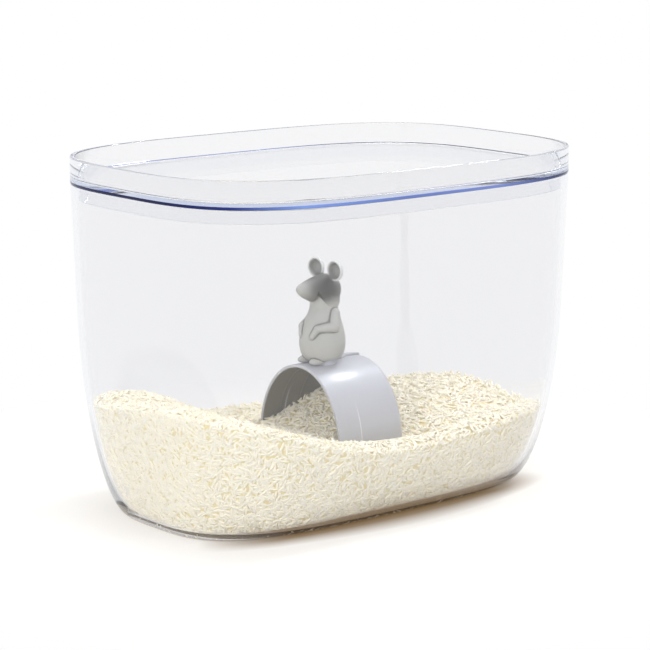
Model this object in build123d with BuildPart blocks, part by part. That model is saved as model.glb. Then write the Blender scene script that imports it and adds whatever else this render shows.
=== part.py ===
"""Clear rice container: an oval tub with a sunk lid, and a scoop in the rice whose handle is a small mouse.

The frame is the tub's own: millimetres, +Z up, the origin on the table under the middle of the base, X along
the tub. The scoop lies along X with its open mouth to -X, and the mouse looks the same way.
"""

import os
from math import copysign, cos, exp, pi, sin, sqrt

from build123d import *

# Tub: outside sizes at the rim, its walls, and the curve that draws the walls in to the base
tub_length = 298.0
tub_width = 213.0
tub_height = 198.5
tub_wall = 2.6
tub_floor = 3.2
tub_lean = 6.0
base_curve_height = 120.0
base_curve_ends = 14.0
base_curve_sides = 37.0
outline_power = 3.45
outline_points = 32
base_turn_shares = (0.0, 0.13, 0.28, 0.45, 0.64, 0.83, 1.0)
wall_shares = (0.25, 0.5, 0.75, 1.0)

# Lid: a panel on the tub's rim, an upright rim round it, and a skirt that plugs into the tub
lid_height = 16.5
lid_panel = 3.4
lid_wall = 2.4
lid_inner_chamfer = 1.2
lid_skirt_depth = 8.5
lid_skirt_wall = 2.0
lid_fit = 0.4

# Scoop: an arched trough on two straight legs, its mouth at the front and a wall at the back
scoop_front = -19.8
scoop_foot = 22.6
scoop_depth = 51.5
scoop_width = 78.0
scoop_rise = 48.0
scoop_leg = 13.0
scoop_wall = 2.0
scoop_back_round = 4.0
scoop_edge_round = 0.6
measure_line_height = 0.5
measure_line_width = 0.9
measure_line_shares = (0.26, 0.54)

# Mouse: where it sits on the crown, and its body as heights and radii
mouse_setback = 18.6
mouse_height = 38.0
belly_radius = 14.4
mouse_wall = 2.0
mouse_sink = 5.0
body_outline_shares = ((0.74, 0.06), (0.93, 0.17), (1.0, 0.33), (0.95, 0.48), (0.80, 0.66), (0.63, 0.84))
neck_radius = 8.4
glue_gap = 0.1
seat_height = 2.5
spigot_radius = 4.5
spigot_height = 5.0

# Mouse limbs: shoulder, elbow and paw, each set out from the body's axis and up from the crown
shoulder_radius = 3.5
elbow_radius = 3.0
paw_radius = 2.3
shoulder_out = 6.6
shoulder_up = 30.0
elbow_out = 11.0
elbow_up = 21.5
paw_out = 5.6
paw_ahead = 11.2
paw_up = 17.0
heel_radius = 2.7
toe_radius = 2.4
toe_ahead = 13.6
foot_apart = 11.0

# Mouse head: a turned form from the back of the skull to the nose, and two dished ears
head_length = 32.0
head_radius = 9.7
head_up = 45.2
head_back = 11.4
nose_radius = 4.0
snout_middle_share = 0.5
head_nod = 3.0
ear_radius = 6.3
ear_depth = 3.2
ear_dish_radius = 8.0
ear_rim = 0.9
ear_apart = 18.0
ear_up = 57.4
ear_behind = 1.6
ear_turn = 8.0

# Tail: a ridge along the crown, as shares of the way from the body to the back edge and of its own swing
tail_radius = 1.9
tail_tip_radius = 1.0
tail_swing = 4.0
tail_lift = 0.5
tail_end_gap = 3.0
tail_shares = ((0.0, 0.0), (0.35, 0.75), (0.68, 1.0), (1.0, 0.2))

# Rice: a level with mounds on it, as shares of the tub's half length, its half width and the level
rice_level = 36.0
rice_gap = 0.4
rice_in_scoop_rise = 20.0
rice_mound_shares = (
    (-0.92, -0.36, 0.55, 1.50, 1.10),
    (-0.60, 0.65, 0.23, 0.34, 0.30),
    (0.97, 0.16, 0.74, 0.70, 0.42),
    (0.48, -0.73, 0.74, 0.24, 0.45),
    (0.20, -0.44, 0.22, 0.20, -0.33),
)
rice_along_shares = (-1.05, -0.9, -0.75, -0.6, -0.45, -0.3, -0.15, 0, 0.15, 0.3, 0.45, 0.6, 0.75, 0.9, 1.05)
rice_across_shares = (-1.05, -0.85, -0.65, -0.45, -0.25, 0, 0.25, 0.45, 0.65, 0.85, 1.05)

# One overrun serves every cut that has to pass a face
overrun = 2.0

# Places worked out from the sizes above
panel_top = tub_height + lid_panel
skirt_foot = tub_height - lid_skirt_depth
spring = scoop_foot + scoop_leg
crown = spring + scoop_rise
scoop_back = scoop_front + scoop_depth
mouse_x = scoop_front + mouse_setback
neck_top = crown + mouse_height

os.makedirs("parts", exist_ok=True)


def oval(half_length, half_width, height):
    """A squared oval, |x/a|^p + |y/b|^p = 1, on a level plane."""
    points = []
    for step in range(outline_points):
        turn = 2 * pi * step / outline_points
        along_share = copysign(abs(cos(turn)) ** (2 / outline_power), cos(turn))
        across_share = copysign(abs(sin(turn)) ** (2 / outline_power), sin(turn))
        points.append((half_length * along_share, half_width * across_share))
    with BuildSketch(Plane.XY.offset(height)) as section:
        with BuildLine():
            Spline(*points, periodic=True)
        make_face()
    return section.sketch


def wall_lean(height):
    """How far the tub's wall has leaned in at a height."""
    return tub_lean * (1 - height / tub_height)


def tub_sections(inset, lift, top):
    """Level sections up the tub's wall, the base curve first, set in by inset and up by lift."""
    sections = []
    for share in base_turn_shares:
        turn = share * pi / 2
        height = lift + (base_curve_height - lift) * (1 - cos(turn))
        half_length = tub_length / 2 - inset - wall_lean(height) - base_curve_ends * (1 - sin(turn))
        half_width = tub_width / 2 - inset - wall_lean(height) - base_curve_sides * (1 - sin(turn))
        sections.append(oval(half_length, half_width, height))
    for share in wall_shares:
        height = base_curve_height + (top - base_curve_height) * share
        reach = inset + wall_lean(height)
        sections.append(oval(tub_length / 2 - reach, tub_width / 2 - reach, height))
    return sections


def arch(half_width, rise, foot, station):
    """The scoop's section across X: two straight legs under half an ellipse."""
    with BuildSketch(Plane.YZ.offset(station)) as section:
        with BuildLine():
            EllipticalCenterArc((0, spring), half_width, rise, start_angle=0, arc_size=180)
            Polyline((-half_width, spring), (-half_width, foot), (half_width, foot), (half_width, spring))
        make_face()
    return section.sketch


def limb(start, end, start_radius, end_radius):
    """A tapered limb with round ends, added to the part that is being built."""
    reach = Vector(*end) - Vector(*start)
    with BuildSketch(Plane(origin=start, x_dir=reach, z_dir=reach.cross(Vector(0, 0, 1)))) as profile:
        with BuildLine():
            CenterArc((0, 0), start_radius, 90, 90)
            Line((0, start_radius), (reach.length, end_radius))
            CenterArc((reach.length, 0), end_radius, 0, 90)
            Line((reach.length + end_radius, 0), (-start_radius, 0))
        make_face()
    revolve(profile.sketch, axis=Axis(start, reach))


def crown_height(across):
    """Height of the scoop's outside over a place across it."""
    return spring + scoop_rise * sqrt(1 - (across / (scoop_width / 2)) ** 2)


def rice_height(along, across):
    """Height of the rice in the tub at a place."""
    height = rice_level
    for along_share, across_share, length_share, width_share, rise_share in rice_mound_shares:
        off_along = (along / (tub_length / 2) - along_share) / length_share
        off_across = (across / (tub_width / 2) - across_share) / width_share
        height += rice_level * rise_share * exp(-off_along ** 2 - off_across ** 2)
    return height


def rice_section(station, lift):
    """The rice across X at one station, from below the tub's floor to its surface."""
    half_width = tub_width / 2
    surface = []
    for share in rice_across_shares:
        surface.append((share * half_width, rice_height(station, share * half_width) + lift))
    with BuildSketch(Plane.YZ.offset(station)) as section:
        with BuildLine():
            top = Spline(*surface)
            Polyline(top @ 0, (surface[0][0], -overrun), (surface[-1][0], -overrun), top @ 1)
        make_face()
    return section.sketch


# Tub
with BuildPart() as tub:
    loft(tub_sections(0, 0, tub_height))
    loft(tub_sections(tub_wall, tub_floor, tub_height + overrun), mode=Mode.SUBTRACT)
tub.part.label = "tub"
export_step(tub.part, "parts/tub.step")

# Lid
skirt_reach = tub_wall + wall_lean(skirt_foot) + lid_fit
with BuildPart() as lid:
    extrude(oval(tub_length / 2, tub_width / 2, tub_height), amount=lid_height)
    recess = oval(tub_length / 2 - lid_wall, tub_width / 2 - lid_wall, panel_top)
    extrude(recess, amount=lid_height, mode=Mode.SUBTRACT)
    chamfer(lid.edges().filter_by_position(Axis.Z, panel_top, panel_top), lid_inner_chamfer)
    skirt = oval(tub_length / 2 - skirt_reach, tub_width / 2 - skirt_reach, skirt_foot)
    extrude(skirt, amount=lid_skirt_depth)
    skirt_inner = skirt_reach + lid_skirt_wall
    skirt_hollow = oval(tub_length / 2 - skirt_inner, tub_width / 2 - skirt_inner, skirt_foot)
    extrude(skirt_hollow, amount=lid_skirt_depth, mode=Mode.SUBTRACT)
lid.part.label = "lid"
export_step(lid.part, "parts/lid.step")

# Scoop trough, with its measuring lines, the seat ring for the mouse and the tail
inner_half = scoop_width / 2 - scoop_wall
inner_rise = scoop_rise - scoop_wall
line_half = inner_half - measure_line_height
line_rise = inner_rise - measure_line_height
body_foot_radius = belly_radius * body_outline_shares[0][0]
seat_radius = body_foot_radius - mouse_wall - glue_gap
tail_start = mouse_x + body_foot_radius + tail_radius + glue_gap
tail_length = scoop_back - tail_end_gap - tail_start
with BuildPart() as scoop_trough:
    extrude(arch(scoop_width / 2, scoop_rise, scoop_foot, scoop_front), amount=scoop_depth)
    fillet(scoop_trough.faces().sort_by(Axis.X)[-1].edges().sort_by(Axis.Z)[1:], scoop_back_round)
    hollow = arch(inner_half, inner_rise, scoop_foot - overrun, scoop_front - overrun)
    extrude(hollow, amount=overrun + scoop_depth - scoop_wall, mode=Mode.SUBTRACT)
    fillet(scoop_trough.faces().sort_by(Axis.X)[0].edges().sort_by(Axis.Z)[2:], scoop_edge_round)
    for share in measure_line_shares:
        station = scoop_front + scoop_depth * share
        extrude(arch(inner_half, inner_rise, scoop_foot, station), amount=measure_line_width)
        line_hollow = arch(line_half, line_rise, scoop_foot - overrun, station)
        extrude(line_hollow, amount=measure_line_width, mode=Mode.SUBTRACT)
    with Locations((mouse_x, 0, crown - scoop_wall / 2)):
        Cylinder(seat_radius, scoop_wall / 2 + seat_height, align=(Align.CENTER, Align.CENTER, Align.MIN))
    tail = []
    for along_share, swing_share in tail_shares:
        tail_y = tail_swing * swing_share
        tail.append(Vector(tail_start + tail_length * along_share, tail_y, crown_height(tail_y) + tail_lift))
    rings = []
    for step, place in enumerate(tail):
        heading = tail[min(step + 1, len(tail) - 1)] - tail[max(step - 1, 0)]
        taper_share = step / (len(tail) - 1)
        with BuildSketch(Plane(origin=place, z_dir=heading)) as ring:
            Circle(tail_radius + (tail_tip_radius - tail_radius) * taper_share)
        rings.append(ring.sketch)
    loft(rings)
scoop_trough.part.label = "scoop_trough"
export_step(scoop_trough.part, "parts/scoop_trough.step")

# Mouse body: a hollow turned form with arms and feet, cut to sit on the crown, with a spigot for the head
heel_out = body_foot_radius - mouse_wall / 2 + heel_radius
heel_ahead = sqrt(heel_out ** 2 - (foot_apart / 2) ** 2)
body_outline = []
for radius_share, up_share in body_outline_shares:
    body_outline.append((belly_radius * radius_share, mouse_height * up_share))
mouse_plane = Plane(origin=(mouse_x, 0, crown), x_dir=(1, 0, 0), z_dir=(0, -1, 0))
mouse_axis = Axis((mouse_x, 0, crown), (0, 0, 1))
with BuildPart() as mouse_body:
    with BuildSketch(mouse_plane):
        with BuildLine():
            flank = Spline(*body_outline, (neck_radius, mouse_height))
            hem = (body_outline[0][0], -mouse_sink)
            Polyline(flank @ 1, (0, mouse_height), (0, -mouse_sink), hem, flank @ 0)
        make_face()
    revolve(axis=mouse_axis)
    for side in (-1, 1):
        shoulder = (mouse_x, side * shoulder_out, crown + shoulder_up)
        elbow = (mouse_x, side * elbow_out, crown + elbow_up)
        paw = (mouse_x - paw_ahead, side * paw_out, crown + paw_up)
        limb(shoulder, elbow, shoulder_radius, elbow_radius)
        limb(elbow, paw, elbow_radius, paw_radius)
    with BuildSketch(mouse_plane):
        with BuildLine():
            inside = []
            for radius, up in body_outline:
                inside.append((radius - mouse_wall, up))
            lining = Spline(*inside)
            ceiling = (0, inside[-1][1])
            below = -mouse_sink - overrun
            Polyline(lining @ 1, ceiling, (0, below), (inside[0][0], below), lining @ 0)
        make_face()
    revolve(axis=mouse_axis, mode=Mode.SUBTRACT)
    saddle = arch(scoop_width / 2 + glue_gap, scoop_rise + glue_gap, scoop_foot, scoop_front - overrun)
    extrude(saddle, amount=scoop_depth + overrun, mode=Mode.SUBTRACT)
    for side in (-1, 1):
        foot_y = side * foot_apart / 2
        foot_z = crown_height(foot_y) + glue_gap
        heel = (mouse_x - heel_ahead, foot_y, foot_z + heel_radius)
        toe = (mouse_x - toe_ahead, foot_y, foot_z + toe_radius)
        limb(heel, toe, heel_radius, toe_radius)
    with Locations((mouse_x, 0, neck_top)):
        Cylinder(spigot_radius, spigot_height, align=(Align.CENTER, Align.CENTER, Align.MIN))
mouse_body.part.label = "mouse_body"
export_step(mouse_body.part, "parts/mouse_body.step")

# Mouse head: turned about the line from the skull to the nose, bored for the spigot, with dished ears
head_plane = Plane(
    origin=(mouse_x + head_back, 0, crown + head_up), x_dir=(-1, 0, 0), z_dir=(0, 1, 0)
).rotated((0, head_nod, 0))
head_axis = Axis(head_plane.origin, head_plane.x_dir)
with BuildPart() as mouse_head:
    with BuildSketch(head_plane):
        with BuildLine():
            brow = (head_radius, head_radius)
            nose = (head_length - nose_radius, nose_radius)
            snout_x = brow[0] + (nose[0] - brow[0]) * snout_middle_share
            snout_y = brow[1] + (nose[1] - brow[1]) * snout_middle_share
            CenterArc((head_radius, 0), head_radius, 90, 90)
            Spline(brow, (snout_x, snout_y), nose, tangents=((1, 0), (1, 0)))
            CenterArc((head_length - nose_radius, 0), nose_radius, 0, 90)
            Line((head_length, 0), (0, 0))
        make_face()
    revolve(axis=head_axis)
    for side in (-1, 1):
        ear_place = (mouse_x + ear_behind, side * ear_apart / 2, crown + ear_up)
        ear_plane = Plane(origin=ear_place, x_dir=(0, 1, 0), z_dir=(-1, 0, 0)).rotated((side * ear_turn, 0, 0))
        with BuildSketch(ear_plane):
            Circle(ear_radius)
        extrude(amount=-ear_depth)
        dish_up = sqrt(ear_dish_radius ** 2 - (ear_radius - ear_rim) ** 2)
        with Locations(ear_plane.offset(dish_up)):
            Sphere(ear_dish_radius, mode=Mode.SUBTRACT)
    with Locations((mouse_x, 0, neck_top + glue_gap)):
        below_neck = (Align.CENTER, Align.CENTER, Align.MAX)
        above_neck = (Align.CENTER, Align.CENTER, Align.MIN)
        Cylinder(neck_radius + glue_gap, head_radius, align=below_neck, mode=Mode.SUBTRACT)
        Cylinder(spigot_radius + glue_gap, spigot_height, align=above_neck, mode=Mode.SUBTRACT)
mouse_head.part.label = "mouse_head"
export_step(mouse_head.part, "parts/mouse_head.step")

# Rice: the hollow of the tub up to the heaped surface, with a straight pit for the scoop and a heap in it
rice_stations = [share * tub_length / 2 for share in rice_along_shares]
core_inset = scoop_wall + measure_line_height + rice_gap
core_half = scoop_width / 2 - core_inset
core_rise = scoop_rise - core_inset
slot_foot = scoop_foot - rice_gap
pit_length = scoop_depth + 2 * rice_gap
pit_width = scoop_width + 2 * rice_gap
pit_align = (Align.MIN, Align.CENTER, Align.MIN)
with BuildPart() as scoop_rice:
    core = arch(core_half, core_rise, slot_foot, scoop_front - rice_gap)
    extrude(core, amount=scoop_depth - scoop_wall)
    heap = [rice_section(scoop_front - overrun, 0), rice_section(scoop_back, rice_in_scoop_rise)]
    loft(heap, mode=Mode.INTERSECT)
with BuildPart() as rice_fill:
    loft([rice_section(station, 0) for station in rice_stations])
    hollow_sections = tub_sections(tub_wall + rice_gap, tub_floor + rice_gap, tub_height)
    loft(hollow_sections, mode=Mode.INTERSECT)
    with Locations((scoop_front - rice_gap, 0, slot_foot)):
        Box(pit_length, pit_width, crown - slot_foot, align=pit_align, mode=Mode.SUBTRACT)
    add(scoop_rice.part)
rice_fill.part.label = "rice_fill"
export_step(rice_fill.part, "parts/rice_fill.step")
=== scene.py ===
# %% [markdown]
# # A clear rice container with a mouse scoop
# The object is a clear moulded tub with a loose lid, and a grey scoop that stands in the rice.
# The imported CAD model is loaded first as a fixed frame. It already has every piece at its real
# size, so each new mesh is only a better looking stand-in for a CAD piece, in the same place.

import math

import bpy
import numpy as np
from mathutils import Matrix, Vector


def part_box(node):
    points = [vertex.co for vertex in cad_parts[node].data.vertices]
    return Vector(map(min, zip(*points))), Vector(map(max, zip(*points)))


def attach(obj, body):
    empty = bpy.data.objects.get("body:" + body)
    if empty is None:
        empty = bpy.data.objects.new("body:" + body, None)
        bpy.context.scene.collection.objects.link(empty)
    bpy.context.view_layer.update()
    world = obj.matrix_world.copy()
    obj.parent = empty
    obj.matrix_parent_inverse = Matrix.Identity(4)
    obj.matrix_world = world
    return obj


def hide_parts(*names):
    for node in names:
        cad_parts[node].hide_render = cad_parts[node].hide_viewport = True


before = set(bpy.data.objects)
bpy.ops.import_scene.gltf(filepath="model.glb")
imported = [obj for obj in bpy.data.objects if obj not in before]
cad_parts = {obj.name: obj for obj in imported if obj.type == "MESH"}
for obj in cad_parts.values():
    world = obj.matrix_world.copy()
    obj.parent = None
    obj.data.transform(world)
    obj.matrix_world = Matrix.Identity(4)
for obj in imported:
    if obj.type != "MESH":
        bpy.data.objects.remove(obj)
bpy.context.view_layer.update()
print("nodes:", ", ".join(sorted(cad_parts)))

# %% [markdown]
# ## Sizes
# The CAD model was drawn in millimetres and Blender works in metres. Overall sizes are read from
# the frame. The few wall sizes that a box can't show are repeated here. A margin of a tenth of a
# millimetre keeps the new meshes inside the CAD model's box.

# %% Sizes read from the frame, and wall sizes
MM = 0.001
tub_high = Vector(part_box("tub")[1])
lid_low, lid_high = (Vector(corner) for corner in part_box("lid"))
scoop_low, scoop_high = (Vector(corner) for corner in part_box("scoop_trough"))

BOX_MARGIN = 0.1 * MM
HALF_LENGTH = (lid_high.x - lid_low.x) / 2 - BOX_MARGIN
HALF_WIDTH = (lid_high.y - lid_low.y) / 2 - BOX_MARGIN
TUB_TOP = tub_high.z
LID_TOP = lid_high.z
SKIRT_FOOT = lid_low.z
OUTLINE_POWER = 3.45
TUB_WALL = 2.6 * MM
TUB_FLOOR = 3.2 * MM
TUB_LEAN = 6.0 * MM
CURVE_HEIGHT = 120.0 * MM
CURVE_ENDS = 14.0 * MM
CURVE_SIDES = 37.0 * MM
print(f"tub {2000 * HALF_LENGTH:.0f} x {2000 * HALF_WIDTH:.0f} x {1000 * LID_TOP:.0f} mm")

# %% [markdown]
# ## Camera
# The photograph was taken with a long lens from a little above the lid, round to the left of the
# tub's long side. The camera is set by angles about a point inside the tub, so it is easy to read
# and to change.

# %% Camera
PHOTO_AZIMUTH = math.radians(-39.7)
PHOTO_ELEVATION = math.radians(11.4)
PHOTO_DISTANCE = 1.5
PHOTO_TARGET = Vector((0, 0, 0.1))
to_camera = Vector((
    math.sin(PHOTO_AZIMUTH) * math.cos(PHOTO_ELEVATION),
    -math.cos(PHOTO_AZIMUTH) * math.cos(PHOTO_ELEVATION),
    math.sin(PHOTO_ELEVATION),
))
camera_data = bpy.data.cameras.new("photo_camera")
camera_data.lens = 134.8
camera_data.sensor_width = 36
camera_data.shift_x = 0.0022
camera_data.shift_y = 0.0148
camera = bpy.data.objects.new("photo_camera", camera_data)
camera.location = PHOTO_TARGET + to_camera * PHOTO_DISTANCE
camera.rotation_euler = (-to_camera).to_track_quat("-Z", "Y").to_euler()
bpy.context.collection.objects.link(camera)
bpy.context.scene.camera = camera
bpy.context.scene.view_settings.view_transform = "Standard"
print("camera at", tuple(round(v, 3) for v in camera.location))

# %% [markdown]
# ## Helpers for materials
# Colours are picked as sRGB hex values, the way a paint tool shows them, and Blender's shaders
# want linear light. One function converts them. A second adds a node, sets its inputs and links
# it, so that each material reads as a short list.


# %% Helpers for materials
def linear(hex_colour):
    """An sRGB hex colour as linear RGBA."""
    channels = [int(hex_colour[i:i + 2], 16) / 255 for i in (1, 3, 5)]
    return [c / 12.92 if c <= 0.04045 else ((c + 0.055) / 1.055) ** 2.4 for c in channels] + [1.0]


def add_node(tree, kind, inputs=None, **settings):
    """Add a node with its properties and inputs. An input that is a socket is linked, any other is a value."""
    node = tree.nodes.new(kind)
    for name, value in settings.items():
        setattr(node, name, value)
    for name, value in (inputs or {}).items():
        if isinstance(value, bpy.types.NodeSocket):
            tree.links.new(value, node.inputs[name])
        else:
            node.inputs[name].default_value = value
    return node


def new_material(name):
    """An empty node material, its tree, and its output node."""
    material = bpy.data.materials.new(name)
    material.use_nodes = True
    tree = material.node_tree
    tree.nodes.clear()
    return material, tree, tree.nodes.new("ShaderNodeOutputMaterial")


def dress(piece, material):
    """Give a piece one material all over."""
    piece.data.materials.clear()
    piece.data.materials.append(material)


# a Mix node has sockets for each kind of data, and these are the ones for colours
COLOUR_A, COLOUR_B, COLOUR_OUT = 6, 7, 2
print("mid grey as linear light:", [round(value, 3) for value in linear("#808080")])

# %% [markdown]
# ## Clear moulded plastic
# The tub and lid are injection-moulded styrene acrylonitrile, a hard clear plastic with the gloss
# of its polished mould. A thin wall looks colourless, and where light runs a long way inside the
# plastic, as along the lid's panel, it comes out blue. A volume that absorbs red and green a
# little gives the walls that cool tone. The roughness has faint scuffs. Shadow rays pass straight
# through, because real clear plastic casts almost no shadow, and so do rays that have met many
# walls already, which would end black.

# %% Clear plastic material
SCUFF_SIZE = 9 * MM
TRAPPED_DEPTH = 5.5


def make_clear_plastic():
    material, tree, output = new_material("clear_moulded_san")
    place = add_node(tree, "ShaderNodeTexCoord").outputs["Object"]
    scuffs = add_node(tree, "ShaderNodeTexNoise", {"Vector": place, "Scale": 1 / SCUFF_SIZE, "Detail": 4.0})
    rough = add_node(
        tree, "ShaderNodeMapRange",
        {"Value": scuffs.outputs["Fac"], "From Min": 0.45, "From Max": 0.75, "To Min": 0.015, "To Max": 0.06},
    )
    glass = add_node(
        tree, "ShaderNodeBsdfPrincipled",
        {
            "Base Color": linear("#F7F7F8"), "Roughness": rough.outputs["Result"], "IOR": 1.57,
            "Transmission Weight": 1.0,
        },
    )
    through = add_node(tree, "ShaderNodeBsdfTransparent", {"Color": linear("#F6F8FB")})
    ray = add_node(tree, "ShaderNodeLightPath")
    trapped = add_node(
        tree, "ShaderNodeMath", {0: ray.outputs["Ray Depth"], 1: TRAPPED_DEPTH}, operation="GREATER_THAN"
    )
    straight = add_node(
        tree, "ShaderNodeMath", {0: ray.outputs["Is Shadow Ray"], 1: trapped.outputs["Value"]},
        operation="MAXIMUM",
    )
    mix = add_node(tree, "ShaderNodeMixShader", {0: straight.outputs["Value"]})
    tree.links.new(glass.outputs["BSDF"], mix.inputs[1])
    tree.links.new(through.outputs["BSDF"], mix.inputs[2])
    blue = add_node(tree, "ShaderNodeVolumeAbsorption", {"Color": linear("#B4C2EE"), "Density": 2.0})
    tree.links.new(mix.outputs["Shader"], output.inputs["Surface"])
    tree.links.new(blue.outputs["Volume"], output.inputs["Volume"])
    return material


clear_plastic = make_clear_plastic()
print("material:", clear_plastic.name)

# %% [markdown]
# The lid's panel is a sheet of the same plastic, seen on its edge all round. Light that gets into
# the sheet runs along it and leaves through that edge, so the edge looks deep blue: navy at the
# far ends, paler in the middle of the long sides. A render would need very many bounces for that,
# so that light is painted: the edge has an opaque material with those tones along X. The foot of
# the tub has one too, with painted shade, because there the plastic shows only the shaded table
# under the rice.

# %% Edge materials
PAINTED_EDGE_TONES = (
    (0.0, "#0A1038"), (0.06, "#1A2562"), (0.18, "#6A82BE"), (0.42, "#5B6DA8"), (0.66, "#6B7BB6"),
    (0.84, "#1C2858"), (1.0, "#0E1640"),
)
PAINTED_FOOT_TONES = (
    (0.0, "#C4BDB2"), (0.1, "#A89E90"), (0.25, "#4A4038"), (0.5, "#2E241A"), (0.8, "#3A2E1E"),
    (0.93, "#8A7C68"), (1.0, "#B0A696"),
)


def make_edge(name, colours):
    """Plastic seen on its edge: painted, opaque tones along X for the light and shade seen there, under the
    plastic's own gloss.
    """
    material, tree, output = new_material(name)
    place = add_node(tree, "ShaderNodeTexCoord").outputs["Object"]
    parts = add_node(tree, "ShaderNodeSeparateXYZ", {"Vector": place})
    along = add_node(
        tree, "ShaderNodeMapRange",
        {"Value": parts.outputs["X"], "From Min": -HALF_LENGTH, "From Max": HALF_LENGTH},
    )
    ramp = add_node(tree, "ShaderNodeValToRGB", {"Fac": along.outputs["Result"]})
    while len(ramp.color_ramp.elements) < len(colours):
        ramp.color_ramp.elements.new(0.5)
    for element, (position, colour) in zip(ramp.color_ramp.elements, colours):
        element.position = position
        element.color = linear(colour)
    streaks = add_node(tree, "ShaderNodeTexNoise", {"Vector": place, "Scale": 1 / SCUFF_SIZE, "Detail": 2.0})
    rough = add_node(
        tree, "ShaderNodeMapRange", {"Value": streaks.outputs["Fac"], "To Min": 0.05, "To Max": 0.2}
    )
    edge = add_node(
        tree, "ShaderNodeBsdfPrincipled",
        {
            "Base Color": ramp.outputs["Color"], "Roughness": rough.outputs["Result"], "IOR": 1.57,
            "Specular IOR Level": 0.15,
        },
    )
    tree.links.new(edge.outputs["BSDF"], output.inputs["Surface"])
    return material


# painted light for the lid's edge, painted shade for the tub's foot
painted_edge_light = make_edge("clear_moulded_san_painted_edge", PAINTED_EDGE_TONES)
painted_foot_shade = make_edge("clear_moulded_san_painted_foot_shade", PAINTED_FOOT_TONES)
print("materials:", painted_edge_light.name, painted_foot_shade.name)

# %% [markdown]
# ## Growing a shell from rings
# A moulded tub is a closed skin: up the outside, over the rim, down the inside and across the
# floor. By hand it is made by drawing the base outline, then extruding and scaling it again and
# again along the section. The same function does the tub, the lid and the turned parts of the
# mouse, from a list of rings.


# %% Helper that grows a shell
def signed_power(value, power):
    return math.copysign(abs(value) ** power, value)


def grow_shell(name, rings, power=2.0, points=160, smooth_angle=40):
    """Extrude an oval from ring to ring. A ring is (centre, half length, half width); ovals lie level."""
    bpy.ops.object.select_all(action="DESELECT")
    bpy.ops.mesh.primitive_circle_add(vertices=points, radius=1, fill_type="NGON", location=(0, 0, 0))
    piece = bpy.context.object
    piece.name = piece.data.name = name
    centre, half_length, half_width = rings[0]
    for vertex in piece.data.vertices:
        turn = math.atan2(vertex.co.y, vertex.co.x)
        along = half_length * signed_power(math.cos(turn), 2 / power)
        across = half_width * signed_power(math.sin(turn), 2 / power)
        vertex.co = Vector(centre) + Vector((along, across, 0))
    bpy.ops.object.mode_set(mode="EDIT")
    bpy.ops.mesh.select_all(action="SELECT")
    for before, after in zip(rings, rings[1:]):
        step = Vector(after[0]) - Vector(before[0])
        bpy.ops.mesh.extrude_region_move(TRANSFORM_OT_translate={"value": step})
        bpy.ops.transform.resize(
            value=(after[1] / before[1], after[2] / before[2], 1), center_override=after[0]
        )
    bpy.ops.mesh.select_all(action="DESELECT")
    bpy.ops.mesh.select_non_manifold()
    bpy.ops.mesh.edge_face_add()
    bpy.ops.mesh.select_all(action="SELECT")
    bpy.ops.mesh.normals_make_consistent(inside=False)
    bpy.ops.object.mode_set(mode="OBJECT")
    bpy.ops.object.shade_smooth_by_angle(angle=math.radians(smooth_angle))
    print(f"{name}: {len(piece.data.polygons)} faces")
    return piece


# %% [markdown]
# ## Tub
# The wall leans in a little all the way down, so that the tub leaves its mould, and from about
# half height down it curves in to a smaller flat base: far on the long sides, a little at the
# ends. The rim's two corners are rounded, because they catch the light as two fine lines.

# %% Tub
CURVE_STEPS = 20
WALL_STEPS = 8
RIM_STEPS = 6
RIM_ROUND = 0.8 * MM
FOOT_HEIGHT = 1.3 * MM
FOOT_WIDTH = 1.6 * MM
FOOT_SHARE = 0.98
FLOOR_SHARE = 0.97


def wall_half_sizes(height, inset, lift):
    """Half length and half width of the wall at a height, set in by inset, for a skin that starts at lift."""
    lean = TUB_LEAN * (1 - height / TUB_TOP)
    drop_share = max(0.0, (CURVE_HEIGHT - height) / (CURVE_HEIGHT - lift))
    drawn_share = 1 - math.sqrt(max(0.0, 1 - drop_share ** 2))
    half_length = HALF_LENGTH - inset - lean - CURVE_ENDS * drawn_share
    half_width = HALF_WIDTH - inset - lean - CURVE_SIDES * drawn_share
    return half_length, half_width


def wall_rings(inset, lift, top):
    """Rings up one skin of the tub, from its flat bottom to just under the rim."""
    heights = []
    for step in range(CURVE_STEPS + 1):
        turn = math.pi / 2 * step / CURVE_STEPS
        heights.append(lift + (CURVE_HEIGHT - lift) * (1 - math.cos(turn)))
    for step in range(1, WALL_STEPS + 1):
        heights.append(CURVE_HEIGHT + (top - CURVE_HEIGHT) * step / WALL_STEPS)
    return [((0, 0, height), *wall_half_sizes(height, inset, lift)) for height in heights]


def corner_ring(centre_inset, centre_height, turn):
    """A ring on a rounded corner whose arc turns about a point in the wall."""
    inset = centre_inset - RIM_ROUND * math.cos(turn)
    height = centre_height + RIM_ROUND * math.sin(turn)
    return ((0, 0, height), HALF_LENGTH - inset, HALF_WIDTH - inset)


def outline_share(along, across, half_length, half_width):
    """1 on the tub's squared oval, less inside it."""
    share = np.abs(along / half_length) ** OUTLINE_POWER + np.abs(across / half_width) ** OUTLINE_POWER
    return share ** (1 / OUTLINE_POWER)


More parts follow.
